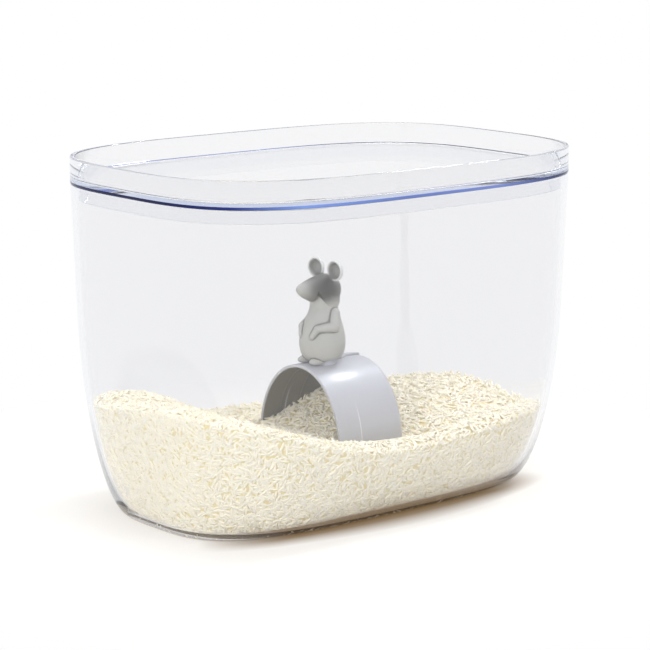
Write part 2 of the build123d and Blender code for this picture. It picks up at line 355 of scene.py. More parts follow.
outside = wall_rings(0, 0, TUB_TOP - RIM_ROUND)
inside = wall_rings(TUB_WALL, TUB_FLOOR, TUB_TOP - RIM_ROUND)
rim = []
for step in range(1, RIM_STEPS + 1):
    turn = math.pi / 2 * step / RIM_STEPS
    rim.append(corner_ring(RIM_ROUND, TUB_TOP - RIM_ROUND, turn))
for step in range(RIM_STEPS + 1):
    turn = math.pi / 2 + math.pi / 2 * step / RIM_STEPS
    rim.append(corner_ring(TUB_WALL - RIM_ROUND, TUB_TOP - RIM_ROUND, turn))
base_inner = ((0, 0, 0), outside[0][1] - FOOT_WIDTH, outside[0][2] - FOOT_WIDTH)
floor_inner = ((0, 0, TUB_FLOOR), inside[0][1] * FLOOR_SHARE, inside[0][2] * FLOOR_SHARE)
tub_rings = [base_inner] + outside + rim + inside[::-1][1:] + [floor_inner]
clear_tub = grow_shell("clear_tub", tub_rings, OUTLINE_POWER)
dress(clear_tub, clear_plastic)
# the faces at the foot take the painted shade
clear_tub.data.materials.append(painted_foot_shade)
for polygon in clear_tub.data.polygons:
    share = outline_share(polygon.center.x, polygon.center.y, outside[0][1], outside[0][2])
    if polygon.center.z < FOOT_HEIGHT and share > FOOT_SHARE:
        polygon.material_index = 1
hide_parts("tub")
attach(clear_tub, "tub")

# %% [markdown]
# ## Lid
# The lid's panel lies on the tub's rim, flush with the tub outside. A rim stands up round it, so
# that another tub can stand in the recess, and a skirt below plugs into the tub. It is one skin
# too: from the panel's underside, round the skirt, the edge and the rim, back to the panel's top.

# %% Lid
LID_PANEL = 3.4 * MM
LID_WALL = 2.4 * MM
SKIRT_WALL = 2.0 * MM
SKIRT_GAP = 0.4 * MM
SKIRT_INSET = TUB_WALL + TUB_LEAN * (1 - SKIRT_FOOT / TUB_TOP) + SKIRT_GAP
SKIRT_CORNER = 0.3 * MM
LID_ROUND = 0.8 * MM
PANEL_FILLET = 2.0 * MM
PANEL_BORDER = 8 * MM
EDGE_HEIGHT = 1.9 * MM
EDGE_SHARE = 0.99


def inset_ring(inset, height):
    return ((0, 0, height), HALF_LENGTH - inset, HALF_WIDTH - inset)


def round_rings(inset, height, radius, start, end, steps=5):
    """Rings round a corner of the lid's section, about a point set in by inset, in degrees from outwards."""
    rings = []
    for step in range(steps + 1):
        turn = math.radians(start + (end - start) * step / steps)
        rings.append(inset_ring(inset - radius * math.cos(turn), height + radius * math.sin(turn)))
    return rings


panel_top = TUB_TOP + LID_PANEL
skirt_inner = SKIRT_INSET + SKIRT_WALL
lid_rings = [inset_ring(skirt_inner + PANEL_BORDER, TUB_TOP), inset_ring(skirt_inner + LID_ROUND, TUB_TOP)]
lid_rings += round_rings(skirt_inner + LID_ROUND, TUB_TOP - LID_ROUND, LID_ROUND, 90, 0)
lid_rings += round_rings(skirt_inner - LID_ROUND, SKIRT_FOOT + LID_ROUND, LID_ROUND, 180, 270)
lid_rings += round_rings(SKIRT_INSET + LID_ROUND, SKIRT_FOOT + LID_ROUND, LID_ROUND, 270, 360)
lid_rings += [
    inset_ring(SKIRT_INSET, TUB_TOP - SKIRT_CORNER), inset_ring(SKIRT_INSET - SKIRT_CORNER, TUB_TOP)
]
lid_rings += round_rings(LID_ROUND, TUB_TOP + LID_ROUND, LID_ROUND, -90, 0)
lid_rings += [inset_ring(0, TUB_TOP + EDGE_HEIGHT), inset_ring(0, panel_top)]
lid_rings += round_rings(LID_ROUND, LID_TOP - LID_ROUND, LID_ROUND, 0, 90)
lid_rings += round_rings(LID_WALL - LID_ROUND, LID_TOP - LID_ROUND, LID_ROUND, 90, 180)
lid_rings += round_rings(LID_WALL + PANEL_FILLET, panel_top + PANEL_FILLET, PANEL_FILLET, 0, -90)
lid_rings += [inset_ring(LID_WALL + PANEL_FILLET + PANEL_BORDER, panel_top)]
clear_lid = grow_shell("clear_lid", lid_rings, OUTLINE_POWER)
dress(clear_lid, clear_plastic)
# the band round the lid's edge takes the painted light
clear_lid.data.materials.append(painted_edge_light)
for polygon in clear_lid.data.polygons:
    near_edge = outline_share(polygon.center.x, polygon.center.y, HALF_LENGTH, HALF_WIDTH) > EDGE_SHARE
    if near_edge and TUB_TOP < polygon.center.z < TUB_TOP + EDGE_HEIGHT:
        polygon.material_index = 1
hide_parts("lid")
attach(clear_lid, "lid")

# %% [markdown]
# ## Grey plastic
# Scoop and mouse are moulded ABS, an opaque plastic whose skin copies the mould's finish. Fine
# noise stands for that skin: it moves the roughness and the bump a little, and a wider noise
# shifts the grey where the pigment isn't quite even.

# %% Helper for grey plastic
SATIN_GRAIN = 0.6 * MM
MATT_GRAIN = 0.5 * MM
TONE_SIZE = 25 * MM
BUMP_DEPTH = 0.1 * MM
UNEVEN = 0.04
print(f"mould skin: satin {SATIN_GRAIN / MM:.1f} mm, matt {MATT_GRAIN / MM:.1f} mm")


def make_grey_plastic(name, light_hex, dark_hex, grain, roughness, bump):
    material, tree, output = new_material(name)
    place = add_node(tree, "ShaderNodeTexCoord").outputs["Object"]
    tone = add_node(tree, "ShaderNodeTexNoise", {"Vector": place, "Scale": 1 / TONE_SIZE, "Detail": 2.0})
    colour = add_node(
        tree, "ShaderNodeMix",
        {"Factor": tone.outputs["Fac"], COLOUR_A: linear(light_hex), COLOUR_B: linear(dark_hex)},
        data_type="RGBA",
    )
    fine = add_node(tree, "ShaderNodeTexNoise", {"Vector": place, "Scale": 1 / grain, "Detail": 2.0})
    rough = add_node(
        tree, "ShaderNodeMapRange",
        {"Value": fine.outputs["Fac"], "To Min": roughness - UNEVEN, "To Max": roughness + UNEVEN},
    )
    skin = add_node(
        tree, "ShaderNodeBump", {"Height": fine.outputs["Fac"], "Strength": bump, "Distance": BUMP_DEPTH}
    )
    plastic = add_node(
        tree, "ShaderNodeBsdfPrincipled",
        {
            "Base Color": colour.outputs[COLOUR_OUT], "Roughness": rough.outputs["Result"], "IOR": 1.53,
            "Normal": skin.outputs["Normal"],
        },
    )
    tree.links.new(plastic.outputs["BSDF"], output.inputs["Surface"])
    return material


# %% [markdown]
# ## Tones and gloss by place
# Not all of a piece's tone is its own: shade in hollows and folds and highlights on rims are painted into the
# plastics here.
# These helpers mix a colour or a gloss into a plastic where a factor says so. The factors come
# from places on the piece itself, so they stay with it in every view.


# %% Helpers for tones and gloss by place
def plastic_of(material):
    """A plastic's node tree, its shader node and the socket that gives the place on the piece."""
    tree = material.node_tree
    plastic = next(node for node in tree.nodes if node.type == "BSDF_PRINCIPLED")
    place = next(node for node in tree.nodes if node.type == "TEX_COORD").outputs["Object"]
    return tree, plastic, place


def tint(material, factor_of, hex_colour):
    """Mix a colour over a plastic's own, where factor_of(tree, place) gives a factor."""
    tree, plastic, place = plastic_of(material)
    plain = plastic.inputs["Base Color"].links[0].from_socket
    colour = add_node(
        tree, "ShaderNodeMix",
        {"Factor": factor_of(tree, place), COLOUR_A: plain, COLOUR_B: linear(hex_colour)},
        data_type="RGBA",
    )
    tree.links.new(colour.outputs[COLOUR_OUT], plastic.inputs["Base Color"])


def polish(material, factor_of, roughness):
    """Mix a smoother finish into a plastic, where factor_of(tree, place) gives a factor."""
    tree, plastic, place = plastic_of(material)
    plain = plastic.inputs["Roughness"].links[0].from_socket
    mix = add_node(tree, "ShaderNodeMix", {0: factor_of(tree, place), 2: plain, 3: roughness})
    tree.links.new(mix.outputs[0], plastic.inputs["Roughness"])


def within(tree, place, centre, radii, full, none):
    """1 inside an oval, fading to 0 outside it. Sizes in millimetres, full and none as shares of the oval."""
    away = add_node(tree, "ShaderNodeVectorMath", {0: place, 1: Vector(centre) * MM}, operation="SUBTRACT")
    scale = [1 / (radius * MM) for radius in radii]
    scaled = add_node(tree, "ShaderNodeVectorMath", {0: away.outputs["Vector"], 1: scale}, operation="MULTIPLY")
    reach = add_node(tree, "ShaderNodeVectorMath", {0: scaled.outputs["Vector"]}, operation="LENGTH")
    fade = add_node(
        tree, "ShaderNodeMapRange",
        {"Value": reach.outputs["Value"], "From Min": full, "From Max": none, "To Min": 1.0, "To Max": 0.0},
        interpolation_type="SMOOTHSTEP",
    )
    return fade.outputs["Result"]


def between(tree, place, low, high):
    """1 where X is between two places, in millimetres."""
    along = add_node(tree, "ShaderNodeSeparateXYZ", {"Vector": place}).outputs["X"]
    middle = add_node(tree, "ShaderNodeMath", {0: along, 1: (low + high) / 2 * MM}, operation="SUBTRACT")
    off = add_node(tree, "ShaderNodeMath", {0: middle.outputs["Value"]}, operation="ABSOLUTE")
    inside = add_node(
        tree, "ShaderNodeMath", {0: off.outputs["Value"], 1: (high - low) / 2 * MM}, operation="LESS_THAN"
    )
    return inside.outputs["Value"]


# %% [markdown]
# ## Satin and matt grey
# The scoop has a satin skin with a soft highlight, glossiest on its near shoulder, where the
# photograph shows a small bright spot. A fine pale line, a painted highlight along the moulding
# line, runs up its sides. Inside it is painted dark and warm, as the shade under the arch. The
# mouse is from a blasted mould: more matt, a little warmer.


# %% Scoop and figure plastics
NO_LIMIT = 9000


def shade_inside_scoop(tree, place):
    under_arch = within(tree, place, (0, 0, 35.6), (NO_LIMIT, 38, 47), 0.985, 1.005)
    past_lip = between(tree, place, -19.4, 30.6)
    return add_node(tree, "ShaderNodeMath", {0: under_arch, 1: past_lip}, operation="MULTIPLY").outputs["Value"]


def moulding_line_highlight(tree, place):
    line = between(tree, place, -2.7, -2.1)
    sides = within(tree, place, (0, 0, 20), (NO_LIMIT, NO_LIMIT, 46), 0.7, 1.0)
    return add_node(tree, "ShaderNodeMath", {0: line, 1: sides}, operation="MULTIPLY").outputs["Value"]


def near_shoulder(tree, place):
    return within(tree, place, (-1, -20, 77), (18, 15, 13), 0.0, 1.0)


satin_abs = make_grey_plastic("satin_grey_abs", "#A9A9AD", "#A2A2A7", SATIN_GRAIN, 0.45, 0.006)
# painted shade inside the scoop's arch
tint(satin_abs, shade_inside_scoop, "#716C62")
# painted highlight along the moulding line
tint(satin_abs, moulding_line_highlight, "#C8C8CC")
polish(satin_abs, near_shoulder, 0.26)
matt_abs = make_grey_plastic("matt_grey_abs", "#A2A19C", "#999893", MATT_GRAIN, 0.5, 0.12)
dress(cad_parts["scoop_trough"], satin_abs)
print("materials:", satin_abs.name, matt_abs.name)

# %% [markdown]
# ## Tools for the figure
# The figure was sculpted by hand before its mould was cut: simple forms pressed together and
# smoothed. Balls and tapered limbs are those forms. A voxel remesh makes them one skin, and a
# little smoothing rounds the joins, as a worn mould does.

# %% Helpers for the figure
FIGURE_VOXEL = 0.3 * MM
LIMB_STEPS = 6
LIMB_ANGLE = 80
print(f"figure skin in steps of {FIGURE_VOXEL / MM:.1f} mm")


def ball(name, centre, radii):
    """A ball, stretched and moved in edit mode. Sizes in millimetres."""
    bpy.ops.object.select_all(action="DESELECT")
    bpy.ops.mesh.primitive_uv_sphere_add(segments=40, ring_count=24, radius=MM, location=(0, 0, 0))
    piece = bpy.context.object
    piece.name = name
    bpy.ops.object.mode_set(mode="EDIT")
    bpy.ops.mesh.select_all(action="SELECT")
    bpy.ops.transform.resize(value=radii)
    bpy.ops.transform.translate(value=Vector(centre) * MM)
    bpy.ops.object.mode_set(mode="OBJECT")
    return piece


def place_along(piece, start, heading):
    """Turn a piece that was made along +Z to a heading, and move its origin's point to start."""
    turn = Vector((0, 0, 1)).rotation_difference(Vector(heading)).to_matrix().to_4x4()
    piece.data.transform(Matrix.Translation(Vector(start) * MM) @ turn)
    return piece


def limb(name, start, end, start_radius, end_radius):
    """A tapered limb with round ends, grown ring by ring along its length."""
    reach = Vector(end) - Vector(start)
    rings = []
    for step in range(LIMB_STEPS + 1):
        turn = math.radians(-LIMB_ANGLE + LIMB_ANGLE * step / LIMB_STEPS)
        rings.append((start_radius * math.sin(turn), start_radius * math.cos(turn)))
    for step in range(LIMB_STEPS + 1):
        turn = math.radians(LIMB_ANGLE * step / LIMB_STEPS)
        rings.append((reach.length + end_radius * math.sin(turn), end_radius * math.cos(turn)))
    piece = grow_shell(name, [((0, 0, up * MM), r * MM, r * MM) for up, r in rings], points=32)
    return place_along(piece, start, reach)


def one_skin(name, parts, smooth_steps):
    """Join parts that overlap and remesh them to one closed skin."""
    bpy.ops.object.select_all(action="DESELECT")
    for part in parts:
        part.select_set(True)
    bpy.context.view_layer.objects.active = parts[0]
    bpy.ops.object.join()
    piece = bpy.context.object
    piece.name = piece.data.name = name
    remesh = piece.modifiers.new("one_skin", "REMESH")
    remesh.mode = "VOXEL"
    remesh.voxel_size = FIGURE_VOXEL
    bpy.ops.object.modifier_apply(modifier=remesh.name)
    soften = piece.modifiers.new("soften", "SMOOTH")
    soften.factor = 0.5
    soften.iterations = smooth_steps
    bpy.ops.object.modifier_apply(modifier=soften.name)
    bpy.ops.object.shade_smooth()
    print(f"{name}: {len(piece.data.polygons)} faces")
    return piece


# %% [markdown]
# ## Creases
# What makes a small matt figure readable is the shade in each fold, painted here as a dark tone.
# A smoothed copy of the skin stands proud in folds and lies under sharp rims. That difference is
# stored on the points, and the material reads it.


# %% Creases
FOLDS = (("crease", 24, 0.16 * MM), ("hollow", 240, 1.0 * MM))


def smoothed(points, edges, steps):
    """Each point moved to the mean of its neighbours, again and again."""
    links = np.bincount(edges.ravel(), minlength=len(points))
    ends = np.concatenate([edges, edges[:, ::-1]])
    for _ in range(steps):
        sums = [np.bincount(ends[:, 0], points[ends[:, 1], axis], len(points)) for axis in range(3)]
        points = (np.array(sums) / links).T
    return points


def mark_creases(piece):
    """Store on each point how far a smoothed copy stands proud of it, for two sizes of fold."""
    mesh = piece.data
    points = np.array([vertex.co for vertex in mesh.vertices])
    normals = np.array([vertex.normal for vertex in mesh.vertices])
    edges = np.array([edge.vertices[:] for edge in mesh.edges])
    for name, steps, depth in FOLDS:
        proud = np.einsum("ij,ij->i", smoothed(points, edges, steps) - points, normals) / depth
        mark = mesh.attributes.new(name, "FLOAT", "POINT")
        mark.data.foreach_set("value", np.clip(proud, -1, 1).astype(np.float32))
        print(f"{piece.name} {name}: {np.percentile(proud, [1, 50, 90, 99]).round(2)}")


def crease_factor(tree, name, low, high):
    """A factor from an attribute, where low and high are pairs of a value and its factor."""
    mark = add_node(tree, "ShaderNodeAttribute", attribute_name=name)
    factor = add_node(
        tree, "ShaderNodeMapRange",
        {
            "Value": mark.outputs["Fac"],
            "From Min": low[0], "From Max": high[0], "To Min": low[1], "To Max": high[1],
        },
    )
    return factor.outputs["Result"]


def shade_creases(material):
    """Painted shade in the folds, as darker tones."""
    tint(material, lambda tree, place: crease_factor(tree, "hollow", (0.05, 0.0), (0.9, 0.3)), "#6A6964")
    tint(material, lambda tree, place: crease_factor(tree, "crease", (0.1, 0.0), (0.9, 0.75)), "#504F4B")


# %% [markdown]
# ## Mouse body
# The handle is a seated mouse, moulded hollow. The body is a turned pear shape, so its rings are
# grown like the tub's. Bent arms lie on the belly and the feet stand out in front.

# %% Mouse body
BODY_RINGS = (
    (85.6, -1.6, 10.2), (86.2, -1.6, 11.4), (88.0, -1.6, 12.7), (90.5, -1.6, 13.6), (93.5, -1.6, 14.2),
    (96.5, -1.6, 14.35), (99.5, -1.6, 14.1), (102.5, -1.5, 13.5), (105.5, -1.4, 12.7), (108.5, -1.2, 11.7),
    (111.5, -0.9, 10.6), (114.5, -0.6, 9.6), (117.5, -0.4, 8.8), (121.0, -0.7, 8.4), (125.0, -1.0, 8.1),
    (128.5, -1.3, 7.4), (131.0, -1.5, 6.0), (132.2, -1.5, 4.0),
)
body_parts = [
    grow_shell("body_turned", [((x * MM, 0, z * MM), r * MM, r * MM) for z, x, r in BODY_RINGS], points=64)
]
for side in (-1, 1):
    shoulder, elbow = (1.0, side * 8.4, 114.6), (-2.4, side * 12.0, 107.2)
    wrist, paw = (-11.4, side * 7.4, 106.2), (-14.0, side * 5.2, 101.2)
    body_parts.append(limb("upper_arm", shoulder, elbow, 3.6, 3.4))
    body_parts.append(limb("forearm", elbow, wrist, 3.4, 2.4))
    body_parts.append(limb("paw", wrist, paw, 2.4, 1.7))
    body_parts.append(ball("foot", (-9.6, side * 5.5, 85.5), (6.8, 3.1, 2.5)))
figure_body = one_skin("figure_body", body_parts, 1)
mark_creases(figure_body)
body_abs = matt_abs.copy()
body_abs.name = "matt_grey_abs_body"
# painted shade in the folds of the body
shade_creases(body_abs)
dress(figure_body, body_abs)
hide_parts("mouse_body")
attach(figure_body, "scoop")

# %% [markdown]
# ## Tools for the head
# The head needs three forms more: a cut by a plane, a form turned about a level axis for muzzle
# and cheeks, and an ear with a dish in front. The ear is turned from one profile, up its round
# back, over the rim and down into the dish.


# %% Helpers for the head
def cut_away(piece, point, normal):
    """Bisect a piece, drop what lies on the normal's side and close the cut."""
    bpy.ops.object.select_all(action="DESELECT")
    piece.select_set(True)
    bpy.context.view_layer.objects.active = piece
    bpy.ops.object.mode_set(mode="EDIT")
    bpy.ops.mesh.select_all(action="SELECT")
    bpy.ops.mesh.bisect(plane_co=Vector(point) * MM, plane_no=normal, use_fill=True, clear_outer=True)
    bpy.ops.object.mode_set(mode="OBJECT")


def turned_along_x(name, rings, points=48):
    """A turned form along X from (x, z, radius) rings, nose first. Sizes in millimetres."""
    piece = grow_shell(name, [((0, 0, -x * MM), r * MM, r * MM) for x, z, r in rings], points=points)
    lift_at = [-x for x, z, r in rings]
    lifts = [z for x, z, r in rings]
    order = np.argsort(lift_at)
    for vertex in piece.data.vertices:
        lift = np.interp(vertex.co.z / MM, np.array(lift_at)[order], np.array(lifts)[order])
        vertex.co = Vector((-vertex.co.z, vertex.co.y, vertex.co.x + lift * MM))
    piece.data.flip_normals()
    return piece


def ear(name, centre, turn):
    """A dished ear facing -X: up its round back, over the rim and down into the dish. Sizes in millimetres."""
    profile = (
        (3.2, 1.0), (2.9, 3.2), (2.1, 5.0), (0.9, 6.1), (0.0, 6.45), (-0.7, 6.35), (-1.05, 5.95),
        (-0.9, 5.4), (0.1, 4.9), (1.1, 3.9), (1.7, 2.4), (1.9, 0.8),
    )
    piece = grow_shell(name, [((0, 0, -along * MM), r * MM, 1.1 * r * MM) for along, r in profile], points=48)
    face_front = Matrix.Rotation(math.radians(-90), 4, "Y")
    piece.data.transform(
        Matrix.Translation(Vector(centre) * MM) @ Matrix.Rotation(math.radians(turn), 4, "Z") @ face_front
    )
    return piece


# %% [markdown]
# ## Mouse head
# The head is one moulding pressed on the neck, and its lower edge shows as a crisp line from the
# mouth's corner down to the nape. So a skull and nape are cut by two planes with a bisect, then
# the muzzle and the two dished ears are added.

# %% Mouse head
MUZZLE_RINGS = (
    (-21.5, 130.7, 0.8), (-21.1, 130.6, 1.7), (-20.1, 130.4, 2.7), (-18.5, 130.0, 3.8), (-16.5, 129.7, 4.8),
    (-14.0, 129.5, 5.9), (-12.1, 129.3, 6.7), (-10.8, 129.2, 7.1),
)
CHEEK_RINGS = (
    (-11.4, 129.25, 6.9), (-9.0, 129.1, 7.8), (-6.0, 129.0, 8.6), (-3.0, 128.8, 9.2), (0.0, 128.6, 9.4),
)
skull_parts = [
    ball("skull", (1.0, 0, 128.6), (9.5, 9.6, 9.7)),
    ball("nape", (0.4, 0, 123.0), (9.0, 9.7, 10.0)),
    turned_along_x("cheeks", CHEEK_RINGS),
]
for part in skull_parts:
    cut_away(part, (-11.0, 0, 130.2), Vector((-10.4, 0, -7.2)).normalized())
    cut_away(part, (-3.8, 0, 119.6), Vector((-2.2, 0, -10.3)).normalized())
head_parts = skull_parts + [turned_along_x("muzzle", MUZZLE_RINGS)]
for side in (-1, 1):
    head_parts.append(ear("ear", (0.9, side * 9.0, 141.2), side * 2))
figure_head = one_skin("figure_head", head_parts, 1)

# %% [markdown]
# ## Head plastic
# The head's plastic is the figure's matt grey with three tones over it: a darker tone on the skull
# that fades out towards the nose, the nape and the ears, painted shade in the folds, and a painted
# highlight on the rims of the ears.

# %% Head plastic
EARS_FROM = 134 * MM


def dark_skull_tone(tree, place):
    return within(tree, place, (-3.0, 0, 129.5), (17, 15, 12), 0.55, 1.1)


def ear_rim_highlight(tree, place):
    """Painted highlight on the rims of the ears."""
    rim = crease_factor(tree, "crease", (-1.0, 0.6), (-0.6, 0.0))
    height = add_node(tree, "ShaderNodeSeparateXYZ", {"Vector": place}).outputs["Z"]
    high = add_node(tree, "ShaderNodeMath", {0: height, 1: EARS_FROM}, operation="GREATER_THAN")
    both = add_node(tree, "ShaderNodeMath", {0: rim, 1: high.outputs["Value"]}, operation="MULTIPLY")
    return both.outputs["Value"]


mark_creases(figure_head)
dark_skull_abs = matt_abs.copy()
dark_skull_abs.name = "matt_grey_abs_dark_skull"
# a darker tone on the skull, fading out towards the nose, the nape and the ears
tint(dark_skull_abs, dark_skull_tone, "#2C2C29")
# painted shade in the folds of the head
shade_creases(dark_skull_abs)
# painted highlight on the ear rims
tint(dark_skull_abs, ear_rim_highlight, "#D2D2D0")
dress(figure_head, dark_skull_abs)
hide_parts("mouse_head")
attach(figure_head, "scoop")

# %% [markdown]
# ## Shape of the heap
# Poured rice lies in low mounds, higher at the left wall and at the far end, with a dip where the
# scoop went in. The heap is a height over the floor with the CAD model's own mounds. Inside the
# scoop it climbs to the back, but not through the arch.

# %% Rice heap as a height over the tub's floor
RICE_LEVEL = 36.0 * MM
RICE_MOUND_SHARES = (
    (-0.92, -0.36, 0.55, 1.50, 1.10),
    (-0.60, 0.65, 0.23, 0.34, 0.30),
    (0.97, 0.16, 0.74, 0.70, 0.42),
    (0.48, -0.73, 0.74, 0.24, 0.45),
    (0.20, -0.44, 0.22, 0.20, -0.33),
)
RICE_IN_SCOOP_RISE = 20.0 * MM
SCOOP_WALL = 2.0 * MM
SCOOP_LEG = 13.0 * MM
SCOOP_RISE = 48.0 * MM
UNDER_ARCH = 1.4 * MM


def arch_ceiling(across):
    """Height of the scoop's arch inside, less the rice's own gap under it."""
    inner_half = scoop_high.y - SCOOP_WALL
    share = np.clip(1 - (across / inner_half) ** 2, 0, 1)
    return scoop_low.z + SCOOP_LEG + (SCOOP_RISE - SCOOP_WALL) * np.sqrt(share) - UNDER_ARCH


def rice_height(along, across):
    """Height of the rice's surface at places in the tub, higher inside the scoop towards its back."""
    height = np.full_like(along, RICE_LEVEL)
    for at_x, at_y, spread_x, spread_y, rise in RICE_MOUND_SHARES:
        off_x = (along / HALF_LENGTH - at_x) / spread_x
        off_y = (across / HALF_WIDTH - at_y) / spread_y
        height = height + RICE_LEVEL * rise * np.exp(-off_x ** 2 - off_y ** 2)
    depth_share = np.clip((along - scoop_low.x) / (scoop_high.x - scoop_low.x), 0, 1)
    in_scoop = (along > scoop_low.x) & (along < scoop_high.x - SCOOP_WALL)
    in_scoop &= np.abs(across) < scoop_high.y - SCOOP_WALL
    heaped = np.minimum(height + RICE_IN_SCOOP_RISE * depth_share, np.maximum(height, arch_ceiling(across)))
    return np.where(in_scoop, heaped, height)


heap_line = np.linspace(-0.9 * HALF_LENGTH, 0.9 * HALF_LENGTH, 5)
print("heap along the middle, mm:", (rice_height(heap_line, 0 * heap_line) / MM).round(0))


# %% [markdown]
# ## Rice
# Polished rice is ivory, a little see-through and dull. Light spreads inside each grain and
# softens its shadow side, which subsurface gives. Deep between the grains the light has been
# through more rice, so there it is more golden.

# %% Rice material
GRAIN_LENGTH = 6.2 * MM
GRAIN_WIDTH = 1.65 * MM
TONES_PER_GRAIN = 0.7
GLOW_DEPTH = 1.2 * MM


def make_rice(name, light_hex, dark_hex):
    """Dry polished rice: a little see-through, so light spreads inside a grain and softens its shadow side."""
    material, tree, output = new_material(name)
    place = add_node(tree, "ShaderNodeTexCoord").outputs["Object"]
    grain_tone = add_node(
        tree, "ShaderNodeTexNoise", {"Vector": place, "Scale": TONES_PER_GRAIN / GRAIN_WIDTH, "Detail": 1.0}
    )
    colour = add_node(
        tree, "ShaderNodeMix",
        {"Factor": grain_tone.outputs["Fac"], COLOUR_A: linear(light_hex), COLOUR_B: linear(dark_hex)},
        data_type="RGBA",
    )
    rough = add_node(
        tree, "ShaderNodeMapRange", {"Value": grain_tone.outputs["Fac"], "To Min": 0.4, "To Max": 0.6}
    )
    grain = add_node(
        tree, "ShaderNodeBsdfPrincipled",
        {
            "Base Color": colour.outputs[COLOUR_OUT], "Roughness": rough.outputs["Result"], "IOR": 1.5,
            "Subsurface Weight": 0.3, "Subsurface Radius": (1.0, 0.8, 0.5), "Subsurface Scale": GLOW_DEPTH,
        },
    )
    tree.links.new(grain.outputs["BSDF"], output.inputs["Surface"])
    return material


rice_white = make_rice("dry_white_rice", "#F1EAD8", "#E5DAC0")
rice_deep = make_rice("dry_rice_between_grains", "#E1D3A9", "#D4C38C")
print("materials:", rice_white.name, rice_deep.name)

# %% [markdown]
# ## Rice bed
# Only the outer grains can be seen. A plain bed just under them stands for all the others and
# fills the gaps. Its skin follows the heap and the tub's own hollow, which no stretched primitive
# gives, so its rings are computed and joined.

# %% Rice bed
RICE_GAP = 0.4 * MM
BED_SINK = 1.0 * MM
BED_POINTS = 160
BED_TOP_SHARES = [step / 40 for step in range(1, 41)]
BED_SIDE_SHARES = (0.8, 0.6, 0.42, 0.27, 0.15, 0.07, 0.02, 0.0)
EDGE_GUESS = 0.05
EDGE_ROUNDS = 12


def squared_oval(points):
    """Unit squared oval as two arrays, matching the tub's outline."""
    turn = np.linspace(0, 2 * np.pi, points, endpoint=False)
    along = np.sign(np.cos(turn)) * np.abs(np.cos(turn)) ** (2 / OUTLINE_POWER)
    across = np.sign(np.sin(turn)) * np.abs(np.sin(turn)) ** (2 / OUTLINE_POWER)
    return along, across


def inner_half_sizes(heights, inset):
    """Half sizes of the tub's hollow at an array of heights."""
    sizes = [wall_half_sizes(height, TUB_WALL + inset, TUB_FLOOR) for height in heights]
    return np.array(sizes).T


def rice_edge(unit_along, unit_across, inset):
    """Where the rice's surface meets the wall: its height for each direction round the tub."""
    height = np.full(len(unit_along), EDGE_GUESS)
    for _ in range(EDGE_ROUNDS):
        half_length, half_width = inner_half_sizes(height, inset)
        height = 0.5 * height + 0.5 * rice_height(half_length * unit_along, half_width * unit_across)
    return height


def make_bed():
    unit_along, unit_across = squared_oval(BED_POINTS)
    inset = RICE_GAP + BED_SINK
    edge = rice_edge(unit_along, unit_across, inset)
    half_length, half_width = inner_half_sizes(edge, inset)
    rings = []
    for share in BED_TOP_SHARES:
        along, across = half_length * unit_along * share, half_width * unit_across * share
        rings.append(np.stack([along, across, rice_height(along, across) - BED_SINK], axis=1))
    floor = TUB_FLOOR + RICE_GAP + BED_SINK
    for share in BED_SIDE_SHARES:
        heights = floor + (edge - BED_SINK - floor) * share
        half_length, half_width = inner_half_sizes(heights, inset)
        rings.append(np.stack([half_length * unit_along, half_width * unit_across, heights], axis=1))
    points = np.concatenate(rings)
    faces = [list(range(BED_POINTS)), list(range(len(points) - BED_POINTS, len(points)))[::-1]]
    for ring in range(len(rings) - 1):
        for step in range(BED_POINTS):
            a = ring * BED_POINTS + step
            b = ring * BED_POINTS + (step + 1) % BED_POINTS
            faces.append([a, a + BED_POINTS, b + BED_POINTS, b])
    mesh = bpy.data.meshes.new("rice_bed")
    mesh.from_pydata(points.tolist(), [], faces)
    bed = bpy.data.objects.new("rice_bed", mesh)
    bpy.context.collection.objects.link(bed)
    bpy.ops.object.select_all(action="DESELECT")
    bpy.context.view_layer.objects.active = bed
    bed.select_set(True)
    bpy.ops.object.mode_set(mode="EDIT")
    bpy.ops.mesh.select_all(action="SELECT")
    bpy.ops.mesh.normals_make_consistent(inside=False)
    bpy.ops.object.mode_set(mode="OBJECT")
    bpy.ops.object.shade_smooth_by_angle(angle=math.radians(40))
    return bed


rice_bed = make_bed()
dress(rice_bed, rice_deep)
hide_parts("rice_fill")
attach(rice_bed, "tub")
print(f"rice_bed: {len(rice_bed.data.polygons)} faces")

# %% [markdown]
# ## One grain
# A long grain is about 6 mm long and under 2 mm thick, round across and pointed at both ends. One
# is modelled with few faces, because it is laid thousands of times.


# %% One grain
GRAIN_FLATNESS = 0.85


def model_grain():
    """The points and faces of one long grain along Z, a stretched ball with few faces. Leaves no object."""
    bpy.ops.object.select_all(action="DESELECT")
    bpy.ops.mesh.primitive_uv_sphere_add(segments=6, ring_count=5, radius=1, location=(0, 0, 0))
    grain = bpy.context.object
    bpy.ops.object.mode_set(mode="EDIT")
    bpy.ops.mesh.select_all(action="SELECT")
    bpy.ops.transform.resize(value=(GRAIN_WIDTH / 2, GRAIN_FLATNESS * GRAIN_WIDTH / 2, GRAIN_LENGTH / 2))
    bpy.ops.object.mode_set(mode="OBJECT")
    points = np.array([vertex.co[:] for vertex in grain.data.vertices])
    faces = [list(polygon.vertices) for polygon in grain.data.polygons]
    bpy.data.objects.remove(grain)
    return points, faces


grain_points, grain_faces = model_grain()
print(f"grain: {len(grain_faces)} faces")

# %% [markdown]
# ## Laying grains
# Loose grains come to rest flat on what is under them, at any angle round. The helper lays the
# one grain at many places, with a seeded random turn, tilt and size, in pieces small enough for
# any tool.

# %% Helper that lays grains
GRAINS_IN_A_PIECE = 4000
GRAIN_SIZES = (0.82, 1.1)
NEARLY_LEVEL = 0.9
dice = np.random.default_rng(11)


